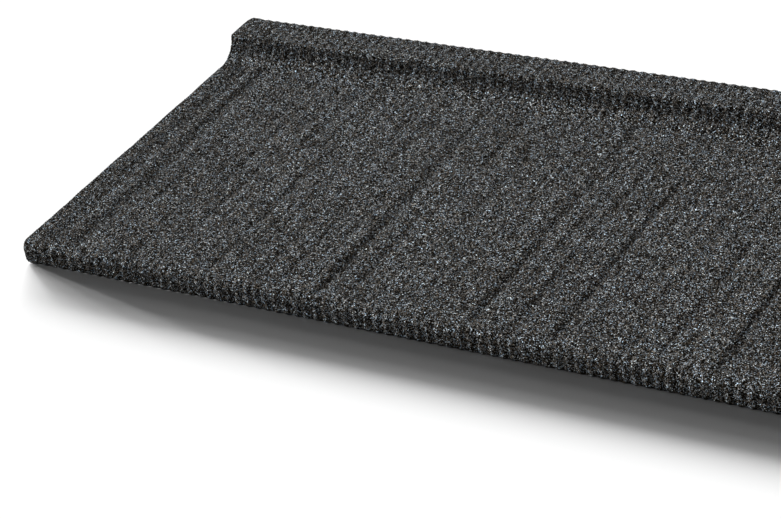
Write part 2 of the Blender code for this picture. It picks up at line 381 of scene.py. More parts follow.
@dataclass
class TimberPattern:
    """Relief of split timber on the pan: joints between planks, grain and lap beads.

    Attributes:
        joint_depth: Depth of a full joint, in metres.
        fall: Width over which a joint falls to its foot, from the left.
        rise: Width over which it rises again, to the right.
        fall_ease: How far the fall is eased from a straight slope.
        rise_bend: Power of the rise, which is steepest at its foot if it is over 1.
        grain_depth: Height of the coarse grain that runs from nose to sweep.
        cover_length: Distance from one sheet's end to the next's, once lapped.
        joint_painted_shade: Painted shade on the coat in a full joint.
        bead_painted_shade: The same in a bead.
        grain_painted_shade: The same in a hollow of the grain.
        deepest_hollow: Depth of hollow, in shares of the grain, past which it darkens no more.
        joints: The joints, from left to right.
        beads: The lap beads, repeated one cover length on.
    """

    joint_depth: float = 0.0020
    fall: float = 0.0095
    rise: float = 0.0135
    fall_ease: float = 0.6
    rise_bend: float = 1.3
    grain_depth: float = 0.00068
    cover_length: float = 1.250
    joint_painted_shade: float = 0.36
    bead_painted_shade: float = 0.42
    grain_painted_shade: float = 0.28
    deepest_hollow: float = 1.6
    joints: tuple[Joint, ...] = (
        Joint(0.090, 0.001, (0.15, 0.25, 0.5, 0.4, 0.3)),
        Joint(0.105, 0.001, (0.1, 0.1, 0.3, 0.2, 0.5)),
        Joint(0.121, 0.001, (0.75, 0.4, 0.1, 0.55, 0.3)),
        Joint(0.134, 0.001, (0.1, 0.3, 0.7, 0.6, 0.2)),
        Joint(0.155, 0.001, (0.2, 0.6, 0.6, 0.6, 0.4)),
        Joint(0.176, 0.001, (0.3, 0.35, 0.2, 0.75, 0.7)),
        Joint(0.192, 0.001, (0.1, 0.2, 0.1, 0.3, 0.2)),
        Joint(0.208, 0.001, (0.75, 0.6, 0.6, 0.5, 0.6)),
        Joint(0.224, 0.001, (0.2, 0.3, 0.1, 0.2, 0.1)),
        Joint(0.240, 0.001, (0.2, 0.4, 0.4, 0.1, 0.3)),
        Joint(0.261, 0.001, (0.6, 0.5, 0.2, 0.1, 0.1)),
        Joint(0.284, 0.002, (0.7, 0.6, 0.3, 0.3, 0.3)),
        Joint(0.303, 0.002, (0.2, 0.3, 0.4, 0.2, 0.3)),
        Joint(0.329, 0.004, (1.15, 1.1, 1.0, 0.75, 0.6)),
        Joint(0.345, 0.003, (0.0, 0.3, 0.2, 0.1, 0.2)),
        Joint(0.357, 0.003, (0.3, 0.7, 0.2, 0.3, 0.4)),
        Joint(0.370, 0.003, (0.2, 0.1, 0.4, 0.75, 0.8)),
        Joint(0.380, 0.003, (0.6, 0.2, 0.0, 0.1, 0.1)),
        Joint(0.402, 0.003, (0.2, 0.2, 0.6, 0.6, 0.2)),
        Joint(0.412, 0.003, (0.65, 0.4, 0.1, 0.2, 0.1)),
        Joint(0.426, 0.003, (0.1, 0.2, 0.3, 0.5, 0.5)),
        Joint(0.440, 0.003, (0.2, 0.5, 0.3, 0.2, 0.2)),
        Joint(0.453, 0.003, (0.2, 0.3, 0.3, 0.5, 0.6)),
        Joint(0.468, 0.002, (0.3, 0.1, 0.1, 0.2, 0.2)),
        Joint(0.486, 0.004, (1.15, 1.15, 1.0, 0.9, 0.8)),
        Joint(0.509, 0.004, (0.2, 0.3, 0.5, 0.2, 0.2)),
        Joint(0.526, 0.004, (0.7, 0.85, 0.6, 0.5, 0.4)),
        Joint(0.546, 0.004, (0.2, 0.2, 0.3, 0.5, 0.4)),
        Joint(0.567, 0.004, (1.2, 1.0, 1.05, 0.7, 0.6)),
        Joint(0.589, 0.003, (0.2, 0.2, 0.4, 0.6, 0.3)),
        Joint(0.602, 0.003, (0.6, 0.3, 0.1, 0.2, 0.2)),
        Joint(0.613, 0.003, (0.1, 0.1, 0.2, 0.4, 0.5)),
        Joint(0.634, 0.003, (0.55, 0.3, 0.5, 0.3, 0.3)),
        Joint(0.651, 0.003, (0.3, 0.3, 0.2, 0.5, 0.3)),
        Joint(0.668, 0.003, (0.5, 0.8, 0.5, 0.6, 0.5)),
        Joint(0.688, 0.003, (0.4, 0.3, 0.4, 0.5, 0.2)),
        Joint(0.704, 0.003, (0.2, 0.2, 0.3, 0.2, 0.4)),
        Joint(0.721, 0.004, (1.2, 1.15, 1.0, 0.8, 0.6)),
        Joint(0.744, 0.003, (0.2, 0.4, 0.3, 0.2, 0.3)),
        Joint(0.762, 0.003, (0.5, 0.3, 0.6, 0.4, 0.2)),
        Joint(0.783, 0.003, (0.3, 0.2, 0.4, 0.3, 0.5)),
        Joint(0.806, 0.003, (0.9, 0.8, 0.7, 0.8, 0.7)),
        Joint(0.827, 0.003, (0.2, 0.4, 0.2, 0.3, 0.1)),
        Joint(0.850, 0.003, (0.4, 0.5, 0.3, 0.2, 0.6)),
        Joint(0.872, 0.002, (0.4, 0.1, 0.3, 0.5, 0.2)),
        Joint(0.893, 0.002, (0.6, 0.6, 0.8, 0.5, 0.4)),
        Joint(0.915, 0.002, (0.2, 0.4, 0.5, 0.2, 0.3)),
        Joint(0.941, 0.003, (1.1, 1.0, 0.9, 0.8, 0.7)),
        Joint(0.962, 0.002, (0.2, 0.3, 0.1, 0.4, 0.4)),
        Joint(0.983, 0.002, (0.6, 0.5, 0.2, 0.4, 0.4)),
        Joint(1.000, 0.002, (0.1, 0.3, 0.5, 0.3, 0.4)),
        Joint(1.016, 0.002, (0.8, 0.6, 0.6, 0.7, 0.5)),
        Joint(1.040, 0.002, (0.3, 0.4, 0.1, 0.3, 0.3)),
        Joint(1.065, 0.002, (0.4, 0.2, 0.6, 0.5, 0.4)),
        Joint(1.087, 0.002, (0.3, 0.5, 0.2, 0.3, 0.1)),
        Joint(1.109, 0.003, (1.1, 1.0, 0.9, 0.9, 0.7)),
        Joint(1.131, 0.002, (0.2, 0.3, 0.4, 0.1, 0.3)),
        Joint(1.152, 0.002, (0.5, 0.5, 0.4, 0.4, 0.5)),
        Joint(1.174, 0.002, (0.2, 0.3, 0.2, 0.4, 0.1)),
        Joint(1.196, 0.002, (0.8, 0.9, 0.6, 0.7, 0.6)),
        Joint(1.214, 0.001, (0.3, 0.1, 0.3, 0.2, 0.4)),
        Joint(1.230, 0.001, (0.3, 0.4, 0.5, 0.4, 0.2)),
    )
    beads: tuple[Bead, ...] = (
        Bead(0.011, 0.030, 0.038, 0.0012),
        Bead(0.038, 0.058, 0.067, 0.0016),
    )

    def joint_sunk(self, x: float, share: float) -> float:
        """Depth of the joints at one place of the pan.

        Args:
            x: Distance from the sheet's left end, in metres.
            share: 0 at the nose, 1 at the sweep.

        Returns:
            Depth below the planks' face, in metres.
        """
        sunk = 0.0
        for joint in self.joints:
            away = x - joint.place(share)
            if -self.fall < away <= 0.0:
                eased = smoothstep(-self.fall, 0.0, away)
                closeness = between(1.0 + away / self.fall, eased, self.fall_ease)
            elif 0.0 < away < self.rise:
                closeness = (1.0 - away / self.rise) ** self.rise_bend
            else:
                continue
            sunk = max(sunk, closeness * joint.depth_at(share) * self.joint_depth)
        return sunk

    def grain(self, x: float, y: float) -> float:
        """Unevenness of the timber grain: about -1 on a ridge, to 1 in a hollow."""
        return sum(waver.at(x, y) for waver in TIMBER_GRAIN)

    def bead_sunk(self, x: float) -> float:
        """Depth of the lap beads at this distance from the left end."""
        starts = (0.0, self.cover_length)
        return sum(bead.depth * bead.share_at(x - start) for start in starts for bead in self.beads)

    def sunk(self, x: float, y: float, share: float) -> float:
        """Depth of the whole relief at one place of the pan.

        Args:
            x: Distance from the sheet's left end, in metres.
            y: Distance behind the nose's face, in metres.
            share: 0 at the nose, 1 at the sweep.

        Returns:
            Depth below the pan's upper face, in metres.
        """
        grain = self.grain_depth * (0.5 + 0.5 * self.grain(x, y))
        return self.joint_sunk(x, share) + self.bead_sunk(x) + grain

    def painted_shade(self, x: float, y: float, share: float) -> float:
        """Painted shade on the coat in the joints, beads and hollows of the grain.

        Args:
            x: Distance from the sheet's left end, in metres.
            y: Distance behind the nose's face, in metres.
            share: 0 at the nose, 1 at the sweep.

        Returns:
            0 on the planks' face, up to 1 in the deepest places.
        """
        in_joint = self.joint_sunk(x, share) / self.joint_depth
        starts = (0.0, self.cover_length)
        in_bead = max(bead.painted_shade_at(x - start) for start in starts for bead in self.beads)
        hollow = min(self.deepest_hollow, max(0.0, self.grain(x, y)))
        summed_shade = self.joint_painted_shade * in_joint + self.bead_painted_shade * in_bead + self.grain_painted_shade * hollow
        return min(1.0, summed_shade)


@dataclass
class Floor:
    """Where the pressing lies: the tilt and shift from its own section to the floor.

    Attributes:
        slope: How far the pan tips down towards the rear, in radians.
        shift: Move from the section's corner to the part's origin, in metres.
    """

    slope: float
    shift: Vector

    @classmethod
    def under(cls, solid: bpy.types.Object, length: float, nose: float, crest: float) -> "Floor":
        """Reads how the solid sheet lies from the largest flat face near its middle.

        Args:
            solid: The sheet of the fixed frame.
            length: Overall length of the sheet, in metres.
            nose: How far the nose's lower edge lies below the pan's middle, in metres.
            crest: How far a flute's crest stands before the nose's face.

        Returns:
            The floor's slope and shift for a pressing that lies in the same place.
        """
        middle_reach, least_up, most_sideways = 0.12, 0.9, 0.0005
        middle = [face for face in solid.data.polygons if abs(face.center.x) < middle_reach]
        upper = [face for face in middle if face.normal.z > least_up]
        level = [face for face in upper if abs(face.normal.x) < most_sideways]
        pan = max(level, key=lambda face: face.area)
        slope = math.atan2(pan.normal.y, pan.normal.z)
        front = min(vertex.co.y for vertex in solid.data.vertices)
        back = -front - crest * math.cos(slope) - nose * math.sin(slope)
        height = pan.center.dot(pan.normal) / math.cos(slope)
        return cls(slope, Vector((-length / 2, -back, height + back * math.tan(slope))))

    def matrix(self) -> Matrix:
        """The move from the pressing's own section to the floor."""
        return Matrix.Translation(self.shift) @ Matrix.Rotation(-self.slope, 4, "X")


@dataclass
class PressedSheet:
    """The pressing itself: one sheet of steel with its coat, bent, fluted and grained.

    Attributes:
        section: End profile.
        timber: Relief of the pan.
        length: Overall length, in metres.
        thickness: Steel and base coat together, without the granules.
        granule_proud: How far the granules' tips stand above the base coat.
        flutes_in_cover: Whole flutes in one cover length.
        flute_depth: From crest to hollow of a flute.
        first_crest: Where the flutes start. The edge before it stays as high as their crests.
        corner_radius: Radius of the blank's four cut corners.
        crown: How much higher the sheet's middle stands than its ends.
        end_inset: How far the two ends are drawn in, for the granules that reach out over them.
        end_wavers: Size, slice of the noise and lumps to the metre of each waver of the cut ends.
        most_outward: Furthest that those wavers may reach outward.
        end_painted_shade: Painted shade on the coat along the two cut ends.
        end_shade_span: Distances from the end between which that painted shade fades.
        columns_in_flute: Grid columns to one flute.
        drawn_reach: Grid columns to each side of a joint that are drawn onto it.
        deepest: Most that the relief may sink at the nose and at the sweep, which rests on the floor.
        open_faces: The base coat's face over the stretches made so far.
    """

    section: Section = field(default_factory=Section)
    timber: TimberPattern = field(default_factory=TimberPattern)
    length: float = 1.330
    thickness: float = 0.0011
    granule_proud: float = 0.0007
    flutes_in_cover: int = 118
    flute_depth: float = 0.0010
    first_crest: float = 0.0136
    corner_radius: float = 0.005
    crown: float = 0.0003
    end_inset: float = 0.0011
    end_wavers: tuple[tuple[float, float, float], ...] = ((0.0013, 7.3, 48.0), (0.000585, 3.1, 150.0))
    most_outward: float = 0.00022
    end_painted_shade: float = 0.9
    end_shade_span: tuple[float, float] = (0.0011, 0.00275)
    columns_in_flute: int = 6
    drawn_reach: int = 3
    deepest: tuple[float, float] = (0.0045, 0.0015)
    open_faces: dict[tuple[Zone, ...], bpy.types.Mesh] = field(default_factory=dict)

    def pitch(self) -> float:
        """Distance between neighbouring flutes, in metres."""
        return self.timber.cover_length / self.flutes_in_cover

    def floor(self) -> Floor:
        """How the sheet lies, read from the solid of the fixed frame."""
        nose = self.section.nose_height + self.crown
        return Floor.under(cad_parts[CAD_NODE], self.length, nose, self.flute_depth / 2)

    def columns(self) -> list[float]:
        """Distances from the left end of the grid's columns.

        Returns:
            Even steps that fit the flutes, with both cut ends drawn in by the coat's edge.
        """
        step = self.pitch() / self.columns_in_flute
        count = int((self.length - 0.5 * step) / step)
        inset = self.end_inset
        return [inset] + [step * k for k in range(1, count + 1)] + [self.length - inset]

    def drawn_columns(self, places: list[float], share: float) -> list[float]:
        """The columns of one row of the pan, with the nearest drawn onto each joint.

        Args:
            places: Undisturbed columns.
            share: 0 at the nose, 1 at the sweep.

        Returns:
            Columns with a crisp one at the foot of every joint's steep side.
        """
        drawn = list(places)
        step = places[2] - places[1]
        reach = self.drawn_reach
        for joint in self.timber.joints:
            nearest = round(joint.x / step)
            pull = joint.place(share) - places[nearest]
            for k in range(nearest - reach, nearest + reach + 1):
                drawn[k] = places[k] + pull * (1.0 - abs(k - nearest) / (reach + 1))
        return drawn

    def point(self, x: float, drawn_x: float, station: Station) -> Vector:
        """Where the base coat's face lies at one column and station.

        Args:
            x: Column's distance from the left end.
            drawn_x: The same, drawn onto the joints.
            station: The place along the section.

        Returns:
            The point, in the section's own axes.
        """
        along = self.trimmed(between(x, drawn_x, station.timber), station)
        turn = 2 * math.pi * max(0.0, along - self.first_crest) / self.pitch()
        lift = math.cos(turn) * self.flute_depth / 2 * station.flute
        if station.timber > 0.0:
            share = station.y / self.section.sweep_start()
            deepest = between(*self.deepest, min(share, 1.0))
            lift -= min(self.timber.sunk(drawn_x, station.y, share), deepest) * station.timber
        lift -= self.granule_proud
        crowned = station.z - self.crown * (2 * along / self.length - 1) ** 2
        return Vector((along, station.y + station.normal[0] * lift, crowned + station.normal[1] * lift))

    def trimmed(self, x: float, station: Station) -> float:
        """Moves the ends of a row: the blank's corners are rounded, and its cut wavers.

        Args:
            x: Distance from the left end.
            station: The place along the section.

        Returns:
            The distance after trimming.
        """
        from_end = min(x, self.length - x)
        if from_end >= self.first_crest:
            return x
        inward = math.copysign(1.0, self.length / 2 - x)
        inset = 0.0
        for size, layer, rate in self.end_wavers:
            inset += size * noise.noise(Vector((layer * inward, station.y * rate, station.z * rate)))
        inset = max(-self.most_outward, inset)
        if station.from_cut < self.corner_radius:
            rise = self.corner_radius - station.from_cut
            inset += self.corner_radius - math.sqrt(self.corner_radius**2 - rise**2)
        return x + inward * inset * (1.0 - from_end / self.first_crest)

    def painted_shade(self, x: float, drawn_x: float, station: Station) -> float:
        """Painted shade on the coat at one column and station.

        Args:
            x: Column's distance from the left end.
            drawn_x: The same, drawn onto the joints.
            station: The place along the section.

        Returns:
            0 where no shade is painted. From 1 on it is as dark as it gets.
        """
        painted_shade = station.painted_shade
        if station.timber > 0.0:
            share = station.y / self.section.sweep_start()
            painted_shade += station.timber * self.timber.painted_shade(drawn_x, station.y, share)
        # Painted shade along the cut ends fades inwards.
        past_end = smoothstep(*self.end_shade_span, min(x, self.length - x))
        return painted_shade + self.end_painted_shade * (1.0 - past_end)

    def face(self, zones: tuple[Zone, ...] = tuple(Zone)) -> bpy.types.Mesh:
        """The base coat's upper face as an open surface, lying on the floor.

        Args:
            zones: The stretches of the section wanted.

        Returns:
            A mesh, made on the first call for these stretches and shared after that.
        """
        if zones not in self.open_faces:
            self.open_faces[zones] = as_mesh(self.pressed_grid(zones), "face_of_" + zones[0].value)
        return self.open_faces[zones]

    def pressed_grid(self, zones: tuple[Zone, ...]) -> bmesh.types.BMesh:
        """Presses a flat grid to the section and its relief.

        Args:
            zones: The stretches of the section to make.

        Returns:
            The grid, lying on the floor, with its painted shade.
        """
        stations = self.section.stations_of(zones)
        places = self.columns()
        across = len(places) - 1
        up = len(stations) - 1
        sweep_start = self.section.sweep_start()
        rows = [self.drawn_columns(places, station.y / sweep_start) for station in stations]
        bm = bmesh.new()
        # Each vertex carries the painted shade that the materials read.
        painted_shade = bm.verts.layers.float.new("painted_shade")
        bmesh.ops.create_grid(bm, x_segments=across, y_segments=up, size=0.5)
        for vertex in bm.verts:
            column = round((vertex.co.x + 0.5) * across)
            row = round((vertex.co.y + 0.5) * up)
            spot = (places[column], rows[row][column], stations[row])
            vertex.co = self.point(*spot)
            vertex[painted_shade] = self.painted_shade(*spot)
        bmesh.ops.transform(bm, matrix=self.floor().matrix(), verts=bm.verts)
        return bm

    def rim(self) -> bpy.types.Mesh:
        """The strips of the face beside its two ends and its rear edge, where it was cut.

        Returns:
            An open mesh of those strips.
        """
        bm = bmesh.new()
        bm.from_mesh(self.face())
        ends = self.length / 2 - self.pitch() / self.columns_in_flute
        rear = max(vertex.co.y for vertex in bm.verts) - self.section.bare_edge
        middles = [(face, face.calc_center_median()) for face in bm.faces]
        inner = [face for face, middle in middles if abs(middle.x) < ends and middle.y < rear]
        bmesh.ops.delete(bm, geom=inner, context="FACES")
        return as_mesh(bm, "rim_of_face")

    def build(self) -> bpy.types.Object:
        """Builds the sheet with its thickness.

        Returns:
            The sheet, standing for the solid of the fixed frame.
        """
        mesh = self.face()
        mesh.shade_smooth()
        sheet = placed("pressed_sheet", mesh)
        sheet.vertex_groups.new(name="underside")
        gauge = sheet.modifiers.new("gauge", "SOLIDIFY")
        gauge.thickness = self.thickness
        gauge.offset = -1.0
        gauge.use_even_offset = True
        gauge.use_quality_normals = True
        gauge.material_offset = 1
        gauge.material_offset_rim = 2
        gauge.shell_vertex_group = "underside"
        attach(sheet, BODY)
        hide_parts(CAD_NODE)
        return sheet

    def dress(self, sheet: bpy.types.Object) -> None:
        """Gives the sheet its coat, its primed underside and its cut edges."""
        for finish in (StoneCoat(), BackingCoat(), CutEdge()):
            sheet.data.materials.append(finish.material())


def as_mesh(bm: bmesh.types.BMesh, name: str) -> bpy.types.Mesh:
    """Keeps a finished edit mesh as a mesh and frees it.

    Args:
        bm: The edit mesh.
        name: Name of the new mesh.

    Returns:
        The mesh.
    """
    mesh = bpy.data.meshes.new(name)
    bm.to_mesh(mesh)
    bm.free()
    return mesh


def placed(name: str, data: bpy.types.ID) -> bpy.types.Object:
    """Puts a mesh, lamp or camera in the scene.

    Args:
        name: Name of the new object.
        data: What it shows.

    Returns:
        The object.
    """
    thing = bpy.data.objects.new(name, data)
    bpy.context.scene.collection.objects.link(thing)
    return thing


def feed(tree: bpy.types.NodeTree, socket: Socket, value: object) -> None:
    """Links a socket into another, or sets it to a plain value.

    Args:
        tree: The nodes.
        socket: The input to fill.
        value: An output socket, or a number, colour, vector, name or material.
    """
    if isinstance(value, Socket):
        tree.links.new(value, socket)
    else:
        socket.default_value = value


def add_node(
    tree: bpy.types.NodeTree, kind: str, inputs: dict[str | int, object], **settings: object
) -> bpy.types.Node:
    """Adds a node.

    Args:
        tree: The nodes to add to.
        kind: Blender's name for the type of node.
        inputs: What each input, by its name or number, is fed with.
        settings: Properties to set on the node.

    Returns:
        The new node.
    """
    made = tree.nodes.new(kind)
    for name, value in settings.items():
        setattr(made, name, value)
    for key, value in inputs.items():
        feed(tree, made.inputs[key], value)
    return made


def seen_by_camera(tree: bpy.types.NodeTree) -> Socket:
    """Tells light that the camera sees, directly, through glass or mirrored, from other light.

    Args:
        tree: The nodes to add to.

    Returns:
        A socket that is 1 for such light and 0 for other light.
    """
    path = tree.nodes.new("ShaderNodeLightPath").outputs
    seen = path["Is Camera Ray"]
    for name in ("Is Transmission Ray", "Is Glossy Ray"):
        wider = add_node(tree, "ShaderNodeMath", {0: seen, 1: path[name]}, operation="MAXIMUM")
        seen = wider.outputs[0]
    return seen


@dataclass(frozen=True)
class Mottle:
    """Soft noise that varies a finish over the piece.

    Attributes:
        scale: Lumps to the metre.
        octaves: Octaves of the noise.
        ends: What the noise's low and high values become.
        roughness: Weight of the finer octaves.
        span: The low and high values.
    """

    scale: float
    octaves: float
    ends: tuple[float, float]
    roughness: float = 0.5
    span: tuple[float, float] = (0.3, 0.7)


class Recipe:
    """Adds and wires the nodes of one material, reading the piece's own coordinates."""

    def __init__(self, name: str) -> None:
        """Starts a material with its shader and its Object coordinates.

        Args:
            name: Name of the material.
        """
        self.finish = bpy.data.materials.new(name)
        self.finish.use_nodes = True
        self.tree = self.finish.node_tree
        self.shader = self.tree.nodes["Principled BSDF"]
        self.place = self.tree.nodes.new("ShaderNodeTexCoord").outputs["Object"]

    def node(self, kind: str, inputs: dict[str | int, object], **settings: object) -> bpy.types.Node:
        """Adds a node to the material, as add_node does."""
        return add_node(self.tree, kind, inputs, **settings)

    def feed_shader(self, **values: object) -> None:
        """Feeds the shader's inputs, each named with underscores for spaces."""
        for name, value in values.items():
            feed(self.tree, self.shader.inputs[name.replace("_", " ")], value)

    def maths(self, operation: str, first: object, second: object) -> Socket:
        """Works out a number from two others, with Blender's name for the operation."""
        return self.node("ShaderNodeMath", {0: first, 1: second}, operation=operation).outputs[0]

    def span(self, value: object, old: tuple[float, float], new: tuple[float, float]) -> Socket:
        """Moves a number from one span to another, and holds it there.

        Args:
            value: The number's socket.
            old: Start and end of the span it comes from.
            new: Start and end of the span it goes to.

        Returns:
            The result's socket.
        """
        limits = {"From Min": old[0], "From Max": old[1], "To Min": new[0], "To Max": new[1]}
        made = self.node("ShaderNodeMapRange", {"Value": value, **limits}, clamp=True)
        return made.outputs["Result"]

    def vector(self, operation: str, first: object, second: object) -> bpy.types.Node:
        """Works on two vectors, and gives the node with its Vector and Value outputs."""
        return self.node("ShaderNodeVectorMath", {0: first, 1: second}, operation=operation)

    def blend(self, kind: str, share: object, first: object, second: object) -> Socket:
        """Mixes two colours.

        Args:
            kind: Blender's name for the way of mixing.
            share: Share of the mix, as a number or socket.
            first: First colour or socket.
            second: Second colour or socket.

        Returns:
            The mixed colour's socket.
        """
        inputs = {0: share, 6: first, 7: second}
        return self.node("ShaderNodeMix", inputs, data_type="RGBA", blend_type=kind).outputs[2]

    def shaded(self, colour: object, shade: object) -> Socket:
        """Multiplies a colour by another colour, or by a number."""
        return self.blend("MULTIPLY", 1.0, colour, shade)

    def ramp(self, value: object, stops: tuple[tuple[float, Colour], ...]) -> Socket:
        """Turns a number into a colour.

        Args:
            value: The number's socket.
            stops: Places from 0 to 1, each with its colour.

        Returns:
            The colour's socket.
        """
        made = self.node("ShaderNodeValToRGB", {0: value})
        band = made.color_ramp.elements
        while len(band) < len(stops):
            band.new(0.5)
        for element, (place, colour) in zip(band, stops):
            element.position = place
            element.color = (*colour, 1.0)
        return made.outputs["Color"]

    def noise(self, scale: float, octaves: float, roughness: float = 0.5) -> Socket:
        """Soft noise from 0 to 1 over the piece.

        Args:
            scale: Lumps to the metre.
            octaves: Octaves of the noise.
            roughness: Weight of the finer octaves.

        Returns:
            The noise's socket.
        """
        inputs = {"Vector": self.place, "Scale": scale, "Detail": octaves, "Roughness": roughness}
        return self.node("ShaderNodeTexNoise", inputs).outputs["Fac"]

    def mottled(self, mottle: Mottle) -> Socket:
        """The number that a mottle gives at each place of the piece."""
        unevenness = self.noise(mottle.scale, mottle.octaves, mottle.roughness)
        return self.span(unevenness, mottle.span, mottle.ends)

    def pitted(self, scale: float, depth: float) -> Socket:
        """Heights of fine pits in metres, for lumps to the metre and their depth."""
        return self.maths("MULTIPLY", self.noise(scale, 2.0), depth)

    def cells(self, feature: str, scale: float) -> bpy.types.Node:
        """Splits the piece into cells like close-packed grains.

        Args:
            feature: Blender's name for what is measured.
            scale: Cells to the metre.

        Returns:
            The node.
        """
        inputs = {"Vector": self.place, "Scale": scale}
        return self.node("ShaderNodeTexVoronoi", inputs, feature=feature)

    def chances(self, cells: bpy.types.Node) -> bpy.types.NodeOutputs:
        """Three random numbers from 0 to 1 for each cell."""
        return self.node("ShaderNodeSeparateColor", {0: cells.outputs["Color"]}).outputs

    def stored(self, name: str) -> Socket:
        """A number that the piece itself carries."""
        return self.node("ShaderNodeAttribute", {}, attribute_name=name).outputs["Fac"]

    def with_painted_shade(self, colour: Socket, most: float) -> Socket:
        """Darkens a colour by the painted shade that the piece carries, by at most a share of its
        light.
        """
        return self.shaded(colour, self.span(self.stored("painted_shade"), UNIT, (1.0, 1.0 - most)))

    def finished(self, colour: Socket, roughness: object, height: Socket) -> bpy.types.Material:
        """Feeds the shader.

        Args:
            colour: Base colour.
            roughness: Roughness.
            height: Heights of the fine relief, in metres.

        Returns:
            The material.
        """
        bump = self.node("ShaderNodeBump", {"Strength": 1.0, "Distance": 1.0, "Height": height})
        self.feed_shader(Base_Color=colour, Roughness=roughness, Normal=bump.outputs["Normal"])
        return self.finish


# The palest, bluish tones stand partly for pale stones and partly for painted glints.
GRANULE_TONES_AND_GLINTS = (
    (0.00, (0.0030, 0.0021, 0.0010)),
    (0.48, (0.0095, 0.0068, 0.0034)),
    (0.57, (0.1200, 0.1040, 0.0840)),
    (0.75, (0.2000, 0.1880, 0.1740)),
    (0.89, (0.3250, 0.3580, 0.4000)),
    (1.00, (0.6600, 0.7900, 0.8900)),
)
COOL_GRANULE: Colour = (0.86, 0.98, 1.10)
WARM_GRANULE: Colour = (1.15, 1.01, 0.86)
MATT_LEVEL = 0.02
EVEN_CHANCE = (0.5, 0.5, 0.5)


def granule_colour(recipe: Recipe, tone: Socket, hue: Socket) -> Socket:
    """Mixes the colour of a granule from its two chance numbers.

    Args:
        recipe: The material's nodes.
        tone: The number that makes it dark or pale.
        hue: The number that makes it cool or warm.

    Returns:
        The colour's socket.
    """
    tint = recipe.blend("MIX", hue, (*COOL_GRANULE, 1.0), (*WARM_GRANULE, 1.0))
    return recipe.shaded(recipe.ramp(tone, GRANULE_TONES_AND_GLINTS), tint)


@dataclass(frozen=True)
class StoneCoat:
    """Crushed-stone granules bonded side by side in a dark glaze.

    Attributes:
        granules_per_metre: Granules laid end to end in a metre.
        clumps_per_metre: Clumps of like-toned granules laid end to end in a metre.
        tilt: Slope of the granules' broken faces.
        gap_span: Distances from a gap's middle, in granules, between which a granule rises.
        gap_depth: Depth of the gaps between granules, in metres.
        gap_glaze_and_shade_tones: Share of the tone in a gap, where dark glaze and painted shade lie
            between the granules, and on a granule.
        clump_tones: Share of the tone in the darkest clump and in the palest.
        drift: Slow change of tone over the sheet.
        roughness: Of the smoothest granule and of the roughest.
        painted_shade_strength: Share of the light that the painted shade takes away at most.
    """

    granules_per_metre: float = 1120.0
    clumps_per_metre: float = 700.0
    tilt: float = 0.9
    gap_span: tuple[float, float] = (0.0, 0.22)
    gap_depth: float = 0.00028
    gap_glaze_and_shade_tones: tuple[float, float] = (0.03, 1.03)
    clump_tones: tuple[float, float] = (0.08, 2.15)
    drift: Mottle = Mottle(28.0, 4.0, (0.85, 1.15), roughness=0.6)
    roughness: tuple[float, float] = (0.38, 0.85)
    painted_shade_strength: float = 0.5

    def material(self) -> bpy.types.Material:
        """Builds the material.

        Returns:
            The material.
        """
        recipe = Recipe("stone_coat")
        cells = recipe.cells("F1", self.granules_per_metre)
        edge = recipe.cells("DISTANCE_TO_EDGE", self.granules_per_metre).outputs["Distance"]
        tone, hue, wear = recipe.chances(cells)
        clump = recipe.chances(recipe.cells("F1", self.clumps_per_metre))[0]
        # The gaps between granules are dark glaze, deepened with painted shade.
        gap = recipe.span(edge, self.gap_span, self.gap_glaze_and_shade_tones)
        shade = recipe.maths("MULTIPLY", gap, recipe.mottled(self.drift))
        shade = recipe.maths("MULTIPLY", shade, recipe.span(clump, UNIT, self.clump_tones))
        colour = recipe.shaded(granule_colour(recipe, tone, hue), shade)
        recipe.shader.inputs["Specular IOR Level"].default_value = MATT_LEVEL
        height = recipe.maths("ADD", self.facets(recipe, cells), self.domes(recipe, edge))
        roughness = recipe.span(wear, UNIT, self.roughness)
        # Painted shade darkens the coat in hollows, at the cut edges and at the upstand's foot.
        return recipe.finished(recipe.with_painted_shade(colour, self.painted_shade_strength), roughness, height)

    def facets(self, recipe: Recipe, cells: bpy.types.Node) -> Socket:
        """Heights of the granules' flat faces, each tilted its own way.

        Args:
            recipe: The material's nodes.
            cells: The cells that the granules fill.

        Returns:
            The heights' socket, in metres.
        """
        lean = recipe.vector("SUBTRACT", cells.outputs["Color"], EVEN_CHANCE)
        offset = recipe.vector("SUBTRACT", recipe.place, cells.outputs["Position"])
        along = recipe.vector("DOT_PRODUCT", lean.outputs["Vector"], offset.outputs["Vector"])
        return recipe.maths("MULTIPLY", along.outputs["Value"], 2.0 * self.tilt)

    def domes(self, recipe: Recipe, edge: Socket) -> Socket:
        """Heights of the granules above the gaps between them, in metres."""
        return recipe.span(edge, self.gap_span, (0.0, self.gap_depth))


@dataclass(frozen=True)
class LooseGranule:
    """Finish of the granules that stand proud, each with its own tone and hue.

    Attributes:
        grit: Fine change of tone on a granule.
        roughness: Of the smoothest granule and of the roughest.
        pits: Fine pits to the metre, and their depth in metres.
    """

    grit: Mottle = Mottle(2600.0, 2.0, (0.8, 1.2))
    roughness: tuple[float, float] = (0.40, 0.80)
    pits: tuple[float, float] = (3200.0, 0.00008)

    def material(self, name: str) -> bpy.types.Material:
        """Builds the material, which reads the chance numbers stored on each granule.

        Args:
            name: Name of the material.

        Returns:
            The material.
        """
        recipe = Recipe(name)
        hue = recipe.stored("hue")
        colour = granule_colour(recipe, recipe.stored("tone"), hue)
        # The proud granules take the same painted shade as the coat under them.
        colour = recipe.with_painted_shade(recipe.shaded(colour, recipe.mottled(self.grit)), StoneCoat.painted_shade_strength)
        recipe.shader.inputs["Specular IOR Level"].default_value = MATT_LEVEL
        roughness = recipe.span(hue, UNIT, self.roughness)
        return recipe.finished(colour, roughness, recipe.pitted(*self.pits))


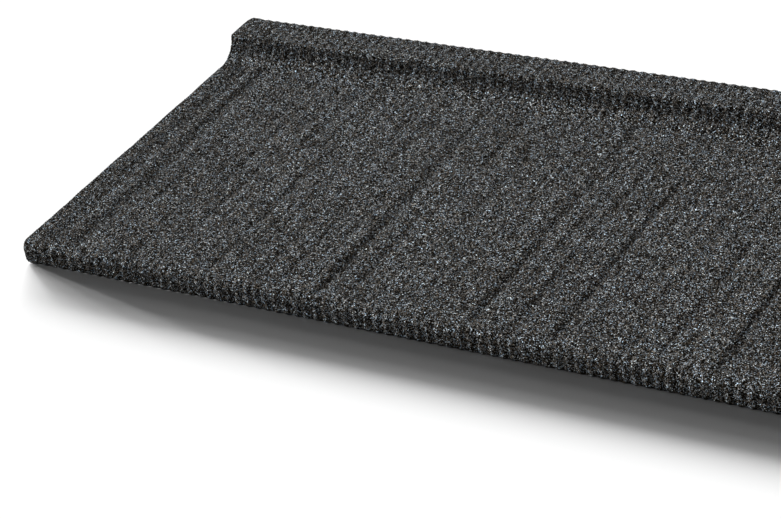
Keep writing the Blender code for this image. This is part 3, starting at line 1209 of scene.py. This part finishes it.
@dataclass(frozen=True)
class BackingCoat:
    """Thin dark primer on the underside, rolled on flat before pressing.

    Attributes:
        colour: The primer's colour.
        clouds: Slow change of tone.
        scuffs: Paler scuffs.
        roughness: Change of roughness.
        peel: Lumps of the rolled face to the metre, and their height in metres.
    """

    colour: Colour = (0.062, 0.064, 0.068)
    clouds: Mottle = Mottle(9.0, 5.0, (0.85, 1.15), roughness=0.6)
    scuffs: Mottle = Mottle(160.0, 3.0, (1.0, 1.35), roughness=0.7, span=(0.60, 0.74))
    roughness: Mottle = Mottle(45.0, 3.0, (0.42, 0.58))
    peel: tuple[float, float] = (900.0, 0.00006)

    def material(self) -> bpy.types.Material:
        """Builds the material.

        Returns:
            The material.
        """
        recipe = Recipe("backing_coat")
        shade = recipe.maths("MULTIPLY", recipe.mottled(self.clouds), recipe.mottled(self.scuffs))
        colour = recipe.shaded((*self.colour, 1.0), shade)
        return recipe.finished(colour, recipe.mottled(self.roughness), recipe.pitted(*self.peel))


@dataclass(frozen=True)
class CutEdge:
    """The sheared edge: a line of bare steel under the coat's broken side.

    Attributes:
        steel_share: Share of the edge's height that is steel.
        blur: Share of that height, to each side, over which steel passes into coat.
        steel: The steel's colour.
        glaze: The coat's colour where it is broken.
        ragged: How far the coat's broken side comes down over the steel, as a share of the height.
        crumbs: Change of tone on the broken coat.
        roughness: Of the broken coat and of the steel.
        grit: Lumps of the broken coat to the metre, and their height in metres.
    """

    steel_share: float = 0.28
    blur: float = 0.02
    steel: Colour = (0.12, 0.123, 0.127)
    glaze: Colour = (0.020, 0.019, 0.018)
    ragged: Mottle = Mottle(700.0, 2.0, (-0.08, 0.08))
    crumbs: Mottle = Mottle(900.0, 2.0, (0.5, 1.6), span=(0.35, 0.65))
    roughness: tuple[float, float] = (0.75, 0.42)
    grit: tuple[float, float] = (1100.0, 0.00025)

    def material(self) -> bpy.types.Material:
        """Builds the material, which reads how near each point is to the underside.

        Returns:
            The material.
        """
        recipe = Recipe("cut_edge")
        depth = recipe.maths("ADD", recipe.stored("underside"), recipe.mottled(self.ragged))
        coat_share = 1.0 - self.steel_share
        bare = recipe.span(depth, (coat_share - self.blur, coat_share + self.blur), UNIT)
        glaze = recipe.shaded((*self.glaze, 1.0), recipe.mottled(self.crumbs))
        colour = recipe.blend("MIX", bare, glaze, (*self.steel, 1.0))
        recipe.feed_shader(Metallic=bare)
        roughness = recipe.span(bare, UNIT, self.roughness)
        return recipe.finished(colour, roughness, recipe.pitted(*self.grit))


@dataclass
class GranuleLayer:
    """Granules that stand proud of the coat over one face of the sheet.

    Attributes:
        name: The piece's name.
        spacing: Least distance between neighbouring granules, in metres.
        size: Radius of an average granule, in metres.
        seed: Seed of the strewing.
        crowding: Granules tried on a square as wide as the spacing, before the close ones go.
        height: Height of a granule, in radii.
        sunk: How deep its base's middle lies under the coat's face, in radii.
        stretch: Least and most that a granule is stretched in each direction.
        seeds: Seeds that are kept for the random values of one layer.
    """

    name: str
    spacing: float
    size: float = 0.00054
    seed: int = 1
    crowding: float = 2.6
    height: float = 1.25
    sunk: float = 0.32
    stretch: tuple[float, float] = (0.65, 1.25)
    seeds: int = 10

    def strew_tree(self) -> bpy.types.NodeTree:
        """Builds the nodes that strew the granules.

        Returns:
            A Geometry Nodes group that turns an open face into the granules on it.
        """
        tree = bpy.data.node_groups.new(self.name, "GeometryNodeTree")
        for way in ("INPUT", "OUTPUT"):
            tree.interface.new_socket("Geometry", in_out=way, socket_type="NodeSocketGeometry")
        strewing = {
            "Mesh": tree.nodes.new("NodeGroupInput").outputs[0],
            "Distance Min": self.spacing,
            "Density Max": self.crowding / self.spacing**2,
            "Seed": self.seed,
        }
        kind = "GeometryNodeDistributePointsOnFaces"
        strewn = add_node(tree, kind, strewing, distribute_method="POISSON")
        least, most = self.stretch
        placing = {
            "Points": strewn.outputs["Points"],
            "Instance": self.granule(tree),
            "Rotation": self.chance(tree, "FLOAT_VECTOR", (0.0,) * 3, (2 * math.pi,) * 3, 1),
            "Scale": self.chance(tree, "FLOAT_VECTOR", (least,) * 3, (most,) * 3, 2),
        }
        granules = add_node(tree, "GeometryNodeInstanceOnPoints", placing).outputs[0]
        for salt, name in ((3, "tone"), (4, "hue")):
            value = self.chance(tree, "FLOAT", *UNIT, salt)
            storing = {"Geometry": granules, "Name": name, "Value": value}
            kept = {"data_type": "FLOAT", "domain": "INSTANCE"}
            granules = add_node(tree, "GeometryNodeStoreNamedAttribute", storing, **kept).outputs[0]
        joined = add_node(tree, "GeometryNodeRealizeInstances", {"Geometry": granules}).outputs[0]
        finish = {"Geometry": joined, "Material": LooseGranule().material(self.name)}
        dressed = add_node(tree, "GeometryNodeSetMaterial", finish).outputs["Geometry"]
        add_node(tree, "NodeGroupOutput", {0: dressed})
        return tree

    def granule(self, tree: bpy.types.NodeTree) -> Socket:
        """One granule, a low three-sided cone that sits a little way into the coat.

        Args:
            tree: The nodes to add to.

        Returns:
            The granule's socket.
        """
        sides = {"Vertices": 3, "Side Segments": 1}
        sizes = {"Radius Top": 0.0, "Radius Bottom": self.size, "Depth": self.size * self.height}
        chip = add_node(tree, "GeometryNodeMeshCone", {**sides, **sizes}).outputs["Mesh"]
        moving = {"Geometry": chip, "Translation": (0.0, 0.0, -self.size * self.sunk)}
        return add_node(tree, "GeometryNodeTransform", moving).outputs["Geometry"]

    def chance(
        self, tree: bpy.types.NodeTree, kind: str, least: object, most: object, salt: int
    ) -> Socket:
        """A seeded random value for each granule.

        Args:
            tree: The nodes to add to.
            kind: Blender's name for the type of value.
            least: Lowest value.
            most: Highest value.
            salt: Tells one value of a granule from another.

        Returns:
            The value's socket.
        """
        seed = {"Seed": self.seed * self.seeds + salt}
        made = add_node(tree, "FunctionNodeRandomValue", seed, data_type=kind)
        limits = [socket for socket in made.inputs if socket.enabled]
        limits[0].default_value = least
        limits[1].default_value = most
        return next(socket for socket in made.outputs if socket.enabled)

    def build(self, face: bpy.types.Mesh) -> bpy.types.Object:
        """Strews the granules over an open face.

        Args:
            face: The face that carries them.

        Returns:
            The granules as one piece.
        """
        ground = placed(self.name, face)
        ground.modifiers.new("strewing", "NODES").node_group = self.strew_tree()
        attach(ground, BODY)
        return ground


@dataclass(frozen=True)
class Lamp:
    """A broad, distant lamp.

    Attributes:
        name: Its name.
        azimuth: Direction of the lamp, anticlockwise from +X seen from above, in degrees.
        height: Its elevation above the floor, in degrees.
        spread: Its apparent width, in degrees.
        level: Light that it gives a level surface, where 1 shows white as white.
        distance: How far off it hangs, in metres, which changes nothing in its light.
    """

    name: str
    azimuth: float
    height: float
    spread: float
    level: float
    distance: float = 3.0

    def hang(self, lit: bpy.types.Collection) -> None:
        """Hangs the lamp.

        Args:
            lit: The objects that it lights.
        """
        height = math.radians(self.height)
        turn = math.radians(self.azimuth)
        data = bpy.data.lights.new(self.name, "SUN")
        data.energy = self.level * math.pi / math.sin(height)
        data.angle = math.radians(self.spread)
        lamp = placed(self.name, data)
        across = math.cos(height)
        towards = Vector((math.cos(turn) * across, math.sin(turn) * across, math.sin(height)))
        lamp.rotation_euler = towards.to_track_quat("Z", "Y").to_euler()
        lamp.location = towards * self.distance
        lamp.light_linking.receiver_collection = lit


@dataclass(frozen=True)
class LampRow:
    """A row of low lamps that throws a long shadow with a soft end.

    Attributes:
        name: Its name.
        count: How many lamps there are.
        azimuths: Directions of the first and the last.
        top: Height of what throws the shadow, in metres.
        reach: How far the shadow comes forward, square to the sheet, in metres.
        level: Light that the row gives a level surface.
        softness: Apparent width of each lamp, as a share of its elevation.
    """

    name: str
    count: int
    azimuths: tuple[float, float]
    top: float
    reach: float
    level: float
    softness: float = 0.72

    def lamps(self) -> list[Lamp]:
        """The lamps, each at the height that gives the same reach.

        Returns:
            The lamps in order.
        """
        made = []
        for place in range(self.count):
            azimuth = between(*self.azimuths, place / (self.count - 1))
            across = math.sin(math.radians(azimuth))
            height = math.degrees(math.atan(self.top * across / self.reach))
            name = f"{self.name}_{place}"
            made.append(Lamp(name, azimuth, height, self.softness * height, self.level / self.count))
        return made


@dataclass
class Studio:
    """Plain studio: pale floor, a broad lamp to the left, soft light from above.

    The floor has lamps of its own behind the sheet, which throw the wide soft shadow forwards.
    The other lamps light only the sheet.

    Attributes:
        sheet_lamps: The lamps that light the sheet.
        floor_lamps: The higher lamps that light the floor.
        row: The low lamps that light it.
        sky_level: Light from all round.
        floor_reach: How far the floor reaches from the sheet's middle to each side, in metres.
        floor_white: How pale the floor is to the camera.
        floor_bounce: How pale the floor is to the light that it throws back at the sheet.
        camera_place: Where the camera stands, in metres.
        camera_aim: The point at the middle of its picture.
        camera_roll: Turn about its own axis, in degrees.
        lens: Focal length for Blender's usual 36 mm wide picture, in millimetres.
    """

    sheet_lamps: tuple[Lamp, ...] = (
        Lamp("side_lamp", 188.0, 20.0, 24.0, 0.57),
        Lamp("overhead_lamp", 0.0, 90.0, 150.0, 0.42),
    )
    floor_lamps: tuple[Lamp, ...] = (
        Lamp("middling_floor_lamp", 145.0, 14.7, 8.0, 0.15),
        Lamp("high_floor_lamp", 145.0, 26.8, 16.0, 0.05),
    )
    row: LampRow = LampRow("low_floor_lamp", 9, (118.0, 168.0), 0.022, 0.072, 0.80)
    sky_level: float = 0.07
    floor_reach: float = 8.0
    floor_white: float = 0.98
    floor_bounce: float = 0.25
    camera_place: tuple[float, float, float] = (0.95702, -1.73104, 1.42387)
    camera_aim: tuple[float, float, float] = (-0.30462, -0.11916, 0.01200)
    camera_roll: float = -13.366
    lens: float = 127.2

    def paper(self) -> bpy.types.Material:
        """Finish of the floor: white to the camera, duller to the light that it throws back.

        Returns:
            The material.
        """
        recipe = Recipe("floor_paper")
        tones = ((0.0, (self.floor_bounce,) * 3), (1.0, (self.floor_white,) * 3))
        recipe.feed_shader(Base_Color=recipe.ramp(seen_by_camera(recipe.tree), tones))
        recipe.shader.inputs["Roughness"].default_value = 1.0
        recipe.shader.inputs["Specular IOR Level"].default_value = 0.0
        return recipe.finish

    def floor(self) -> bpy.types.Object:
        """Lays the pale floor.

        Returns:
            The floor.
        """
        bm = bmesh.new()
        bmesh.ops.create_grid(bm, x_segments=1, y_segments=1, size=self.floor_reach)
        ground = placed("studio_floor", as_mesh(bm, "studio_floor"))
        ground.data.materials.append(self.paper())
        return ground

    def surroundings(self) -> None:
        """Sets the faint light all round, white to the camera and in reflections."""
        world = bpy.data.worlds.new("studio_air")
        world.use_nodes = True
        bpy.context.scene.world = world
        tree = world.node_tree
        levels = {"Value": seen_by_camera(tree), "To Min": self.sky_level, "To Max": 1.0}
        level = add_node(tree, "ShaderNodeMapRange", levels).outputs["Result"]
        sky = tree.nodes["Background"].inputs
        sky["Color"].default_value = (1.0, 1.0, 1.0, 1.0)
        feed(tree, sky["Strength"], level)

    def camera(self) -> None:
        """Stands the camera where the photograph was taken from."""
        data = bpy.data.cameras.new("camera")
        data.lens = self.lens
        camera = placed("camera", data)
        place = Vector(self.camera_place)
        gaze = (Vector(self.camera_aim) - place).to_track_quat("-Z", "Y")
        camera.rotation_mode = "QUATERNION"
        camera.rotation_quaternion = gaze @ Quaternion((0.0, 0.0, 1.0), math.radians(self.camera_roll))
        camera.location = place
        bpy.context.scene.camera = camera

    def build(self, pieces: list[bpy.types.Object]) -> None:
        """Sets up floor, lamps and camera, with plain colour handling.

        Args:
            pieces: The sheet and its granules.
        """
        sheet_only = bpy.data.collections.new("lit_sheet")
        for piece in pieces:
            sheet_only.objects.link(piece)
        floor_only = bpy.data.collections.new("lit_floor")
        floor_only.objects.link(self.floor())
        for lamp in self.sheet_lamps:
            lamp.hang(sheet_only)
        for lamp in (*self.floor_lamps, *self.row.lamps()):
            lamp.hang(floor_only)
        self.surroundings()
        self.camera()
        bpy.context.scene.view_settings.view_transform = "Standard"


def main() -> None:
    """Builds the sheet, its granules and the studio, and logs their sizes."""
    logging.basicConfig(level=logging.INFO, format="%(name)s: %(message)s")
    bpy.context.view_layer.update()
    pressing = PressedSheet()
    sheet = pressing.build()
    pressing.dress(sheet)
    log.info("%s: %d faces before thickness", sheet.name, len(sheet.data.polygons))
    pieces = [sheet]
    nose = pressing.face((Zone.NOSE,))
    pan = pressing.face((Zone.PAN,))
    flange = pressing.face((Zone.FLANGE,))
    layers = (
        (GranuleLayer("nose_granules", 0.00095, seed=1), nose),
        (GranuleLayer("coarse_pan_granules", 0.00239, size=0.00068, seed=2), pan),
        (GranuleLayer("middling_pan_granules", 0.00239, size=0.00058, seed=3), pan),
        (GranuleLayer("fine_pan_granules", 0.00239, size=0.00048, seed=4), pan),
        (GranuleLayer("flange_granules", 0.00102, seed=5), flange),
        (GranuleLayer("rim_granules", 0.00125, size=0.00076, seed=6), pressing.rim()),
    )
    for layer, face in layers:
        pieces.append(layer.build(face))
        strewn = pieces[-1].evaluated_get(bpy.context.evaluated_depsgraph_get())
        log.info("%s: %d triangles", layer.name, len(strewn.data.polygons))
    Studio().build(pieces)


if __name__ == "__main__":
    main()
